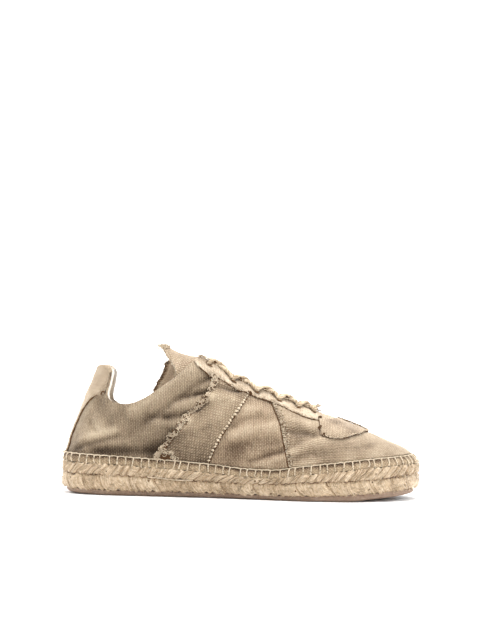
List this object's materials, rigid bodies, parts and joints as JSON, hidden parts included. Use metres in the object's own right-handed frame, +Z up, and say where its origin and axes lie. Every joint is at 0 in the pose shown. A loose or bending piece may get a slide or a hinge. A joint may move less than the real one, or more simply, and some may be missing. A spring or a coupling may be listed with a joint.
{
  "type": "espadrille sneaker",
  "caption": "Right espadrille sneaker: hollow canvas upper with frayed overlays, laced throat, raised heel tab and tongue, on a plaited jute sole with a thin rubber tread.",
  "frame": {"origin": "on the floor, under the middle of the shoe's bounding box", "axes": "+X points to the toe, +Y to the medial side (the left side of this right shoe), +Z up"},
  "size_m": [0.288, 0.1018, 0.1183],
  "materials": {
    "rubber": "matt brown crepe rubber",
    "jute": "plaited jute, rough and fibrous",
    "canvas": "coarse worn canvas",
    "pale_canvas": "coarse canvas with frayed edges",
    "cotton": "round cotton lace",
    "lining": "plain cotton lining"
  },
  "bodies": {
    "root": {"outsole": "rubber", "jute_midsole": "jute", "rand": "canvas", "insole": "lining", "upper": "canvas", "tongue": "canvas", "heel_strip": "pale_canvas", "band_lateral": "pale_canvas", "band_medial": "pale_canvas", "vamp_panel": "pale_canvas", "toe_overlay": "pale_canvas", "eyestay": "pale_canvas", "lace": "cotton"}
  },
  "joints": []
}
